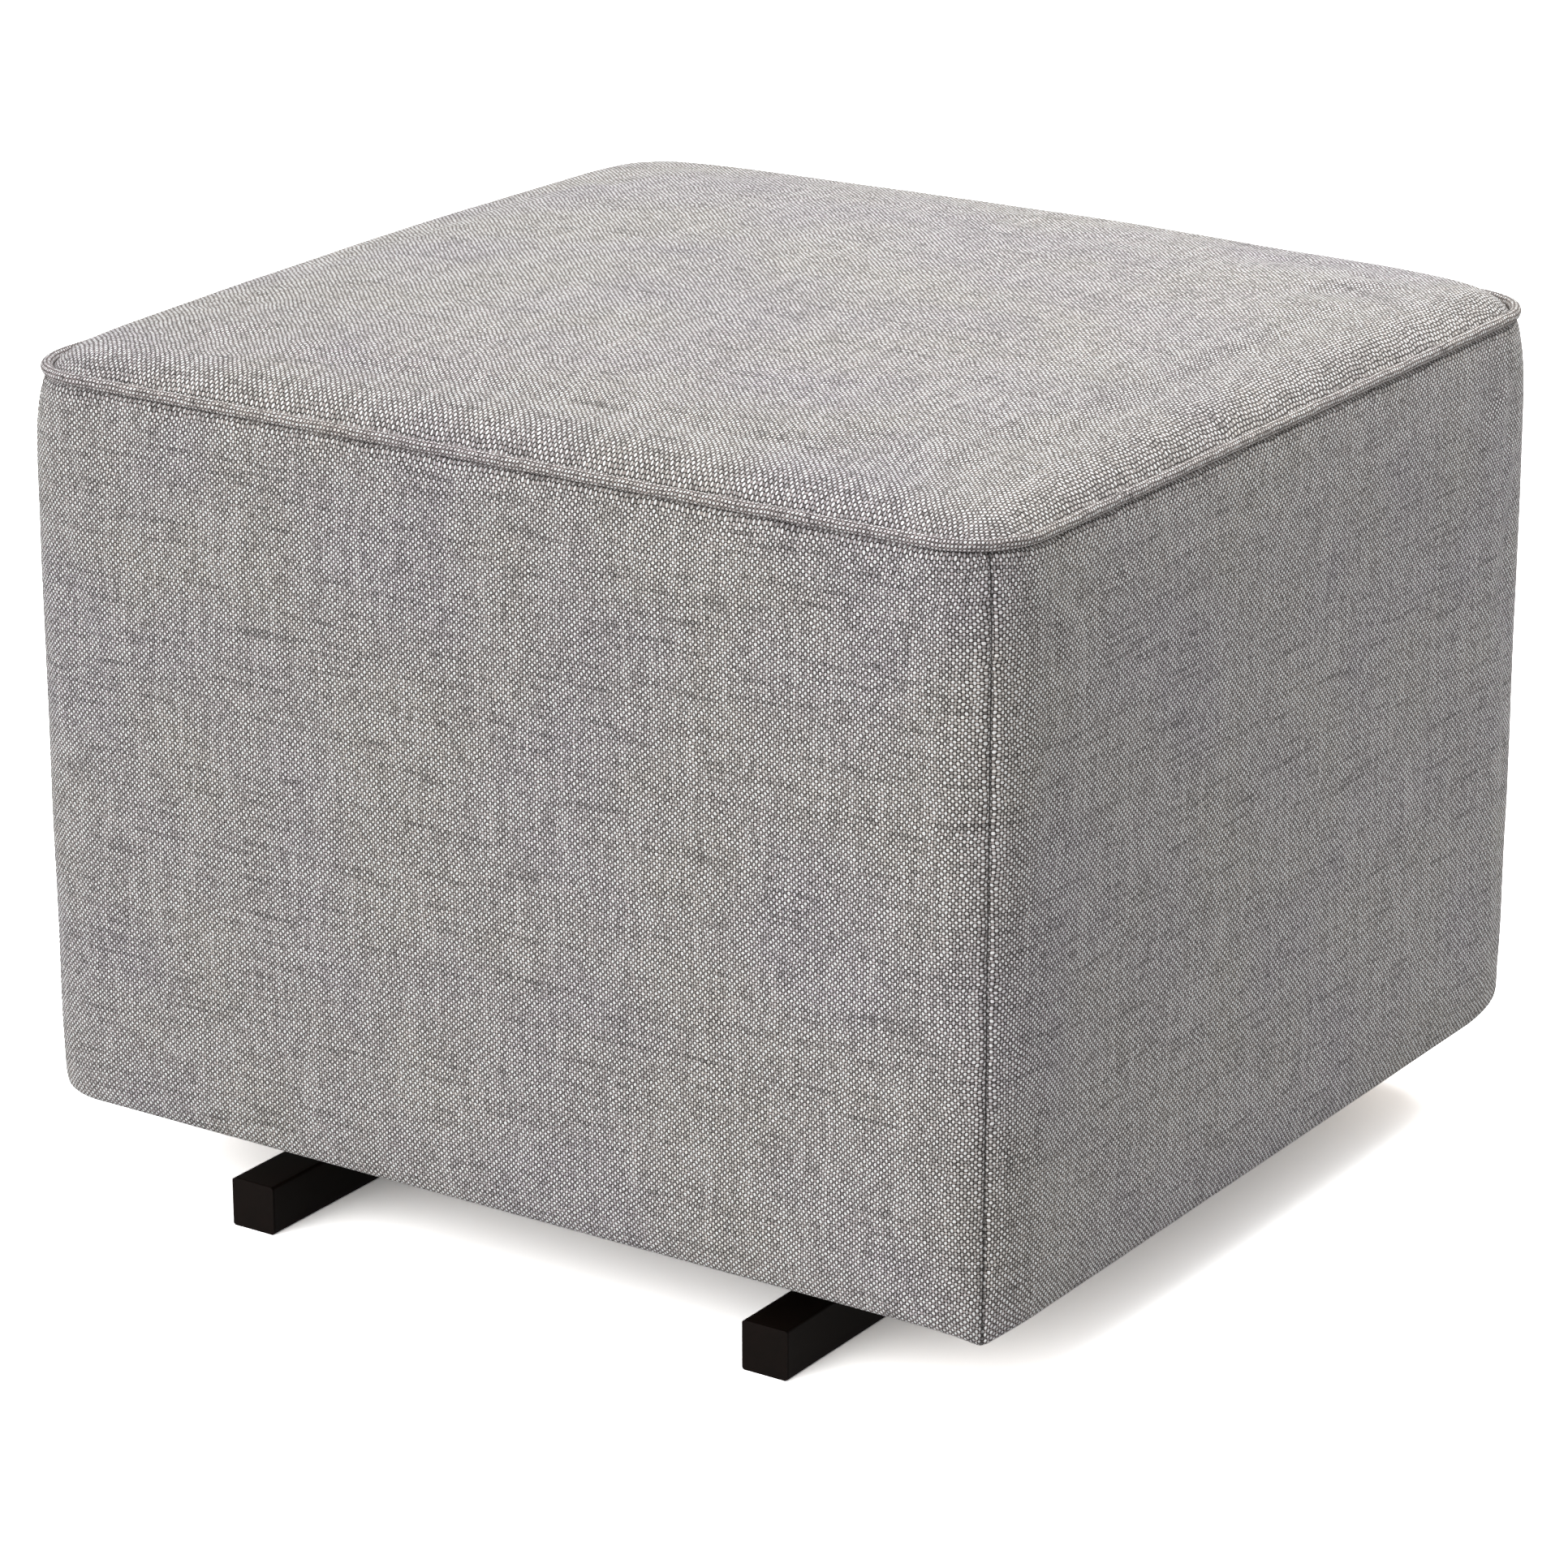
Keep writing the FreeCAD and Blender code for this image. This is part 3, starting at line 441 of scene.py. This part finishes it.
def fibre_wadding(name):
    """Bonded polyester wadding: white crossed fibres, fluffy and soft at the surface."""
    made, tree = new_material(name)
    where = node(tree, "ShaderNodeTexCoord", out="Object")
    combed = node(tree, "ShaderNodeMapping",
                  {"Vector": where, "Rotation": (0.4, 0.3, 0.6), "Scale": (90, 700, 700)})
    fibres = node(tree, "ShaderNodeTexNoise",
                  {"Vector": combed, "Scale": 1.0, "Detail": 5.0, "Distortion": 1.5})
    colour = node(tree, "ShaderNodeValToRGB", {0: fibres}, stops=[(0.3, "#cfd0d0"), (0.6, "#f4f4f2")])
    rough = node(tree, "ShaderNodeMapRange", {"Value": fibres, "To Min": 0.9, "To Max": 1.0})
    finish_material(tree, colour, rough, fibres, 0.8 * MM, Sheen_Weight=0.4)
    return made


# Forms of the sewn cover

straights = [2 * (half_width - corner_radius), 2 * (half_depth - corner_radius)] * 2
arc = corner_radius * math.pi / 2
perimeter = sum(straights) + 4 * arc
seam_places = [(straights[0] + arc) / 2, (straights[0] + arc) / 2 + straights[1] + arc]
corner_signs = [(1, -1), (1, 1), (-1, 1), (-1, -1)]
side_middles = {"front": 0.0, "right": (straights[0] + straights[1]) / 2 + arc,
                "rear": perimeter / 2, "left": -(straights[0] + straights[1]) / 2 - arc}

hem_flat = hem_width - fold_radius
hem_bend = fold_radius * math.pi / 2
wall_height = seam_z - seam_clearance - bottom_z
section_length = hem_flat + hem_bend + wall_height - fold_radius
fold_end = hem_flat + hem_bend


def outline(s, inset):
    """Point of the box's outline, s metres along it from the front's middle, drawn in by the inset."""
    s = (s + straights[0] / 2) % perimeter
    side = 0
    while s > straights[side] + arc:
        s -= straights[side] + arc
        side += 1
    facing = math.radians(90 * side - 90)
    turned = facing + max(0.0, s - straights[side]) / corner_radius
    before_corner = max(0.0, straights[side] - s)
    sign_x, sign_y = corner_signs[side]
    centre = Vector((sign_x * (half_width - corner_radius), sign_y * (half_depth - corner_radius), 0))
    outward = Vector((math.cos(turned), math.sin(turned), 0))
    along = Vector((-math.sin(facing), math.cos(facing), 0))
    return centre + outward * (corner_radius - inset) - along * before_corner, outward


def seam_distance(s):
    """How far a point of the outline lies from the nearest corner seam."""
    s = abs((s + perimeter / 2) % perimeter - perimeter / 2)
    return min(abs(s - corner) for corner in seam_places)


def draw_in(height):
    """The wall leans in a little towards the hem, is drawn in at the top, and tucks under the welt."""
    low = max(0.0, 1 - height / bottom_draw_height)
    high = max(0.0, 1 - (wall_height - height) / top_draw_height)
    tuck = max(0.0, 1 - (wall_height - height) / tuck_height)
    return bottom_draw_in * low ** 2 + top_draw_in * high ** 4 + tuck_depth * tuck ** 2


def groove(s):
    return groove_depth * max(0.0, 1 - seam_distance(s) / groove_reach) ** 2


def section(t):
    """Draw-in and height of the wall's fabric, t metres along it from the hem's inner edge."""
    if t < hem_flat:
        inset, height = hem_width - t, 0.0
    elif t < fold_end:
        angle = (t - hem_flat) / fold_radius
        inset, height = fold_radius * (1 - math.sin(angle)), fold_radius * (1 - math.cos(angle))
    else:
        inset, height = 0.0, fold_radius + t - fold_end
    return inset + draw_in(height), height


def fade_in(distance):
    """Nought at a held edge, rising smoothly to one where the fabric is free."""
    share = min(1.0, max(0.0, distance / give_fade))
    return share * share * (3 - 2 * share)


def hem_shift(point, s, height):
    """How much lower than level the hem hangs near a corner."""
    drop, reach = hem_corners[(1 if point.x > 0 else -1, 1 if point.y > 0 else -1)]
    near = max(0.0, 1 - seam_distance(s) / reach)
    shape = near ** 2 if drop > 0 else near ** 2 * (3 - 2 * near)
    return drop * shape * max(0.0, 1 - height / hem_corner_height) ** 1.5


def wall_point(s, t, give, under=0.0):
    """Place of a point of the walls, t metres up the fabric from the hem's inner edge."""
    inset, height = section(t)
    free = fade_in(min(seam_distance(s), section_length - t, max(0.0, t - fold_end)))
    point, outward = outline(s, inset + groove(s) + give * free + under)
    point.z = bottom_z + height - hem_shift(point, s, height)
    return point


def wall_sewn(s, t):
    return seam_distance(s) < at_edge or t < fold_end + MM or t > section_length - at_edge


def shoulder(distance):
    """The roll of padding just inside the welt."""
    return 1 - math.exp(-distance / shoulder_width)


def top_point(x, y, drop, give):
    """Place of a point of the crowned top; x and y are where it lies on the flat cut piece."""
    to_edge_x = max(0.0, top_half_x - abs(x))
    to_edge_y = max(0.0, top_half_y - abs(y))
    slack = corner_slack * math.exp(-(to_edge_x + to_edge_y) / corner_slack_reach)
    roll = (shoulder_height - slack) * shoulder(to_edge_x) * shoulder(to_edge_y)
    dome = dome_height * (1 - abs(x / top_half_x) ** dome_power) * (1 - abs(y / top_half_y) ** dome_power)
    past_x = max(0.0, top_corner_radius - to_edge_x)
    past_y = max(0.0, top_corner_radius - to_edge_y)
    round_x = abs(x) - past_x * (1 - math.sqrt(1 - (past_y / top_corner_radius) ** 2 / 2))
    round_y = abs(y) - past_y * (1 - math.sqrt(1 - (past_x / top_corner_radius) ** 2 / 2))
    free = fade_in(min(to_edge_x, to_edge_y))
    return Vector((math.copysign(round_x, x), math.copysign(round_y, y),
                   top_edge_z + roll + dome - drop - give * free))


def top_sewn(x, y):
    return min(top_half_x - abs(x), top_half_y - abs(y)) < at_edge


def welt_point(s, around):
    """Place of a point of the fabric round the welt cord, which is never quite even."""
    point, outward = outline(s, welt_inset)
    lumps = noise.noise(Vector((s / welt_lump_length, 4.0, around / welt_lump_width)))
    radius = welt_radius * (1 + welt_lump * lumps)
    angle = around / welt_radius
    wave = welt_wave * noise.noise(Vector((s / welt_wave_length, 9.0, 0)))
    point += outward * (radius * math.cos(angle) + wave)
    point.z = seam_z + welt_radius + radius * math.sin(angle)
    return point


def closer_ends(share):
    """Spread points of a unit length so that they lie closer together towards both ends."""
    crowding = 0.82
    return share + crowding * math.sin(2 * math.pi * share) / (2 * math.pi)


def even(share):
    return share


def finish_mesh(name, bm):
    """Turn a finished bmesh into an object of the scene."""
    mesh = bpy.data.meshes.new(name)
    bm.to_mesh(mesh)
    bm.free()
    made = bpy.data.objects.new(name, mesh)
    scene.collection.objects.link(made)
    return made


def cut_fabric(name, size, segments, shape, spread=closer_ends, start=(0.0, 0.0), held=None, seam=None):
    """A flat piece cut to its size, its threads kept as a UV map in metres, then laid on its shape."""
    bm = bmesh.new()
    bmesh.ops.create_grid(bm, x_segments=segments[0], y_segments=segments[1], size=0.5)
    for vert in bm.verts:
        vert.co.x = start[0] + spread(vert.co.x) * size[0]
        vert.co.y = start[1] + spread(vert.co.y) * size[1]
    threads = bm.loops.layers.uv.new("threads")
    for face in bm.faces:
        face.smooth = True
        for loop in face.loops:
            loop[threads].uv = loop.vert.co.xy
    pinned = [vert.index for vert in bm.verts if held and held(vert.co.x, vert.co.y)]
    to_seam = bm.verts.layers.float.new("to_seam")
    for vert in bm.verts:
        vert[to_seam] = seam(vert.co.x) if seam else 1.0
        vert.co = shape(vert.co.x, vert.co.y)
    if held is None:
        bmesh.ops.remove_doubles(bm, verts=bm.verts, dist=0.05 * MM)
    piece = finish_mesh(name, bm)
    if held:
        piece.vertex_groups.new(name="sewn").add(pinned, 1.0, "REPLACE")
    return piece


def fill_out(limits):
    """Let the padding press the fabric out between its seams, each piece by no more than its limit.

    The fabric lies on the padding, so no point of it moves inwards."""
    resting = {}
    for piece in limits:
        resting[piece] = [vert.co.copy() for vert in piece.data.vertices]
        cloth = piece.modifiers.new("padding", "CLOTH").settings
        cloth.vertex_group_mass = "sewn"
        cloth.quality = 5
        cloth.mass = 0.3
        cloth.tension_stiffness = 40
        cloth.compression_stiffness = 40
        cloth.shear_stiffness = 10
        cloth.bending_stiffness = 2
        cloth.use_pressure = True
        cloth.uniform_pressure_force = fill_pressure
        cloth.effector_weights.gravity = 0
    for step in range(1, frames_to_settle + 1):
        scene.frame_set(step)
    graph = bpy.context.evaluated_depsgraph_get()
    for piece, limit in limits.items():
        settled = [vert.co.copy() for vert in piece.evaluated_get(graph).data.vertices]
        piece.modifiers.clear()
        for vert, old, new in zip(piece.data.vertices, resting[piece], settled):
            shift = new - old
            shift -= vert.normal * min(0.0, shift.dot(vert.normal))
            if shift.length > 1e-9:
                vert.co = old + shift.normalized() * limit * math.tanh(shift.length / limit)
    scene.frame_set(1)


def settle_unevenly(piece):
    """Wadding is never quite level: a slow swell of under a millimetre across the fabric."""
    held = piece.vertex_groups["sewn"].index
    for vert in piece.data.vertices:
        if all(group.group != held for group in vert.groups):
            slow = noise.noise(vert.co / swell_length)
            quick = noise.noise(vert.co / ripple_length + Vector((7, 7, 7)))
            vert.co += vert.normal * (swell_height * slow + ripple_height * quick)


def round_off(piece):
    """Smooth the facets of a piece of fabric."""
    smooth = piece.modifiers.new("rounded", "SUBSURF")
    smooth.levels = 1
    smooth.render_levels = 1


def thicken(piece, thickness):
    """Give a piece of fabric or wadding its thickness, inwards from its outer face."""
    body = piece.modifiers.new("thickness", "SOLIDIFY")
    body.thickness = thickness
    body.offset = -1


def dress(piece, finish, replaced):
    """Give a seat piece its finish, attach it to the seat's body, and hide the CAD nodes it stands for."""
    piece.data.materials.clear()
    piece.data.materials.append(finish)
    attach(piece, "seat")
    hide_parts(*replaced)


# Cover, padding and welt

weave = linen_weave("linen_look_weave")
seamed_weave = linen_weave("linen_look_weave_with_corner_seams", seamed=True)
bias_weave = linen_weave("linen_look_weave_on_the_bias", math.radians(45), "#fbf8f7")
wadding = fibre_wadding("bonded_fibre_wadding")
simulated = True

# The simulation starts with the fabric drawn in by its give, and the padding presses it out again
drawn_in = 1.0 if simulated else 0.0
fabric = {}
for number, (side, middle) in enumerate(side_middles.items()):
    wall = cut_fabric(side + "_wall_fabric", (straights[number] + arc, section_length), (120, 84),
                      lambda s, t: wall_point(s, t, drawn_in * wall_give),
                      start=(middle, section_length / 2), held=wall_sewn, seam=seam_distance)
    fabric[wall] = wall_give

top = cut_fabric("top_fabric", (2 * top_half_x, 2 * top_half_y), (110, 104),
                 lambda x, y: top_point(x, y, 0.0, drawn_in * top_give), held=top_sewn)
fabric[top] = top_give

if simulated:
    fill_out(fabric)
for piece in fabric:
    settle_unevenly(piece)
    round_off(piece)
    thicken(piece, fabric_thickness)
    covered = "cover_" + piece.name.split("_")[0]
    dress(piece, weave if piece is top else seamed_weave, [covered])

welt = cut_fabric("fabric_welt", (perimeter, 2 * math.pi * welt_radius), (560, 14), welt_point, spread=even)
round_off(welt)
dress(welt, bias_weave, ["welt_cord"])

wrap_height = wadding_high.z - wadding_low.z


def wrap_point(s, height):
    """Place of a point of the wadding's outer face, just behind the fabric."""
    t = fold_end + wadding_low.z - bottom_z + height - fold_radius
    return wall_point(s, t, wall_give, behind_fabric)


wrap = cut_fabric("side_wadding_wrap", (perimeter, wrap_height), (520, 40), wrap_point, spread=even,
                  start=(0, wrap_height / 2))
thicken(wrap, side_wadding_thickness)
dress(wrap, wadding, ["side_wadding"])


def sheet_point(x, y):
    """Place of a point of the top wadding's upper face, just behind the fabric."""
    return top_point(x, y, behind_fabric, top_give) * Vector((foam_share_x, foam_share_x, 1))


sheet = cut_fabric("top_wadding_sheet", (2 * top_half_x, 2 * top_half_y), (80, 76), sheet_point,
                   held=lambda x, y: False)
thicken(sheet, top_wadding_thickness)
dress(sheet, wadding, ["top_wadding"])


def foam_block():
    """Cut foam slab with rounded corners and a crowned top."""
    bm = bmesh.new()
    bmesh.ops.create_cube(bm, size=1.0)
    bmesh.ops.subdivide_edges(bm, edges=bm.edges, cuts=27, use_grid_fill=True)
    for vert in bm.verts:
        height = vert.co.z + 0.5
        crowned = top_point(vert.co.x * 2 * top_half_x, vert.co.y * 2 * top_half_y, foam_drop, top_give)
        vert.co = Vector((crowned.x * foam_share_x, crowned.y * foam_share_y,
                          foam_low.z + (crowned.z - foam_low.z) * height))
    for face in bm.faces:
        face.smooth = True
    return finish_mesh("foam_block", bm)


dress(foam_block(), seat_foam("cut_seat_foam"), ["foam_cushion"])

# Finishes of the pieces that the frame holds

quarter = math.pi / 2
coat = powder_coat("espresso_powder_coat")
pine = {"x": sawn_pine("sawn_pine_across", (0, 0, 0)),
        "y": sawn_pine("sawn_pine_front_to_back", (0, 0, quarter)),
        "z": sawn_pine("sawn_pine_upright", (0, quarter, 0))}
finishes = {"black_steel": coat,
            "cap_plastic": moulded_cap("moulded_cap_plastic"),
            "zinc_steel": zinc_plate("bright_zinc_plate"),
            "bearing_steel": bearing_steel("ground_bearing_steel"),
            "stop_rubber": moulded_rubber("moulded_rubber"),
            "hardboard": hardboard("pressed_hardboard"),
            "plywood": plywood("rotary_cut_plywood")}

for part in frame["record"]["subparts"]:
    name, slot_name = part["node"], part["material_slot"]
    low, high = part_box(name)
    size = high - low
    if slot_name == "pine":
        finish = pine["xyz"[list(size).index(max(size))]]
    else:
        finish = finishes.get(slot_name)
    if finish:
        mesh = frame["nodes"][name].data
        mesh.materials.clear()
        mesh.materials.append(finish)

# Floor, light and camera

bm = bmesh.new()
bmesh.ops.create_grid(bm, x_segments=1, y_segments=1, size=30.0)
studio_floor = finish_mesh("studio_floor", bm)
studio_floor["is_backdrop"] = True


def seen_directly(tree):
    """One where the eye meets this surface, straight on or mirrored, and nought where it only gives light."""
    rays = [node(tree, "ShaderNodeLightPath", out=kind)
            for kind in ("Is Camera Ray", "Is Glossy Ray", "Is Transmission Ray")]
    either = node(tree, "ShaderNodeMath", {0: rays[0], 1: rays[1]}, operation="MAXIMUM")
    return node(tree, "ShaderNodeMath", {0: either, 1: rays[2]}, operation="MAXIMUM")


# The object is lit from a mid-grey floor and mirrors a white one. To the camera alone the floor's colour is
# several times white, which no paint is, so that it stays pure white up to a tight shadow.
floor_grey = 0.45
floor_white = 0.9
floor_to_camera = 3.8
floor_lift = 0.08
white_floor, tree = new_material("white_studio_floor")
seen = seen_directly(tree)
plain = node(tree, "ShaderNodeMapRange", {"Value": seen, "To Min": floor_grey, "To Max": floor_white})
eye = node(tree, "ShaderNodeLightPath", out="Is Camera Ray")
paint = node(tree, "ShaderNodeMix", {0: eye, 2: plain, 3: floor_to_camera})
matt = node(tree, "ShaderNodeBsdfDiffuse", {"Color": paint})
lift = node(tree, "ShaderNodeMath", {0: seen, 1: floor_lift}, operation="MULTIPLY")
glow = node(tree, "ShaderNodeEmission", {"Strength": lift})
both = node(tree, "ShaderNodeAddShader", {0: matt, 1: glow})
node(tree, "ShaderNodeOutputMaterial", {"Surface": both})
studio_floor.data.materials.append(white_floor)

# The sky is white where it is seen and lights the scene at less than half of that
sky_light = 0.45
sky_white = 1.0
world = bpy.data.worlds.new("studio")
scene.world = world
world.use_nodes = True
tree = world.node_tree
tree.nodes.clear()
sky_seen = seen_directly(tree)
strength = node(tree, "ShaderNodeMapRange", {"Value": sky_seen, "To Min": sky_light, "To Max": sky_white})
sky = node(tree, "ShaderNodeBackground", {"Color": (1, 1, 1, 1), "Strength": strength})
node(tree, "ShaderNodeOutputWorld", {"Surface": sky})


def soft_sun(name, toward, energy, width_deg):
    """Soft even light that comes from the given direction."""
    light = bpy.data.lights.new(name, "SUN")
    light.energy = energy
    light.angle = math.radians(width_deg)
    lamp = bpy.data.objects.new(name, light)
    lamp.rotation_euler = Vector(toward).to_track_quat("Z", "Y").to_euler()
    scene.collection.objects.link(lamp)


soft_sun("overhead_light", (0.0, 0.30, 0.95), 0.62, 50)
soft_sun("front_left_light", (-0.30, -0.85, 0.35), 1.92, 60)

light = bpy.data.lights.new("rear_right_softbox", "AREA")
light.energy = 17.5
light.size = 1.2
lamp = bpy.data.objects.new("rear_right_softbox", light)
lamp.location = (0.35, 0.9, 1.75)
lamp.rotation_euler = (lamp.location - Vector((0, 0, top_z))).to_track_quat("Z", "Y").to_euler()
lamp.visible_camera = False
scene.collection.objects.link(lamp)

camera_azimuth = math.radians(33.6)
camera_elevation = math.radians(19.25)
camera_distance = 2.8305
camera_aim_left = 0.0050
camera_aim_height = 0.1866
camera_target = Vector((-camera_aim_left * math.cos(camera_azimuth),
                        -camera_aim_left * math.sin(camera_azimuth), camera_aim_height))
camera_back = Vector((math.sin(camera_azimuth) * math.cos(camera_elevation),
                      -math.cos(camera_azimuth) * math.cos(camera_elevation), math.sin(camera_elevation)))
camera = bpy.data.objects.new("camera", bpy.data.cameras.new("camera"))
camera.data.lens = 130.4
camera.data.sensor_width = 36.0
camera.location = camera_target + camera_back * camera_distance
camera.rotation_euler = camera_back.to_track_quat("Z", "Y").to_euler()
scene.collection.objects.link(camera)
scene.camera = camera
scene.view_settings.view_transform = "Standard"

low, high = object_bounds()
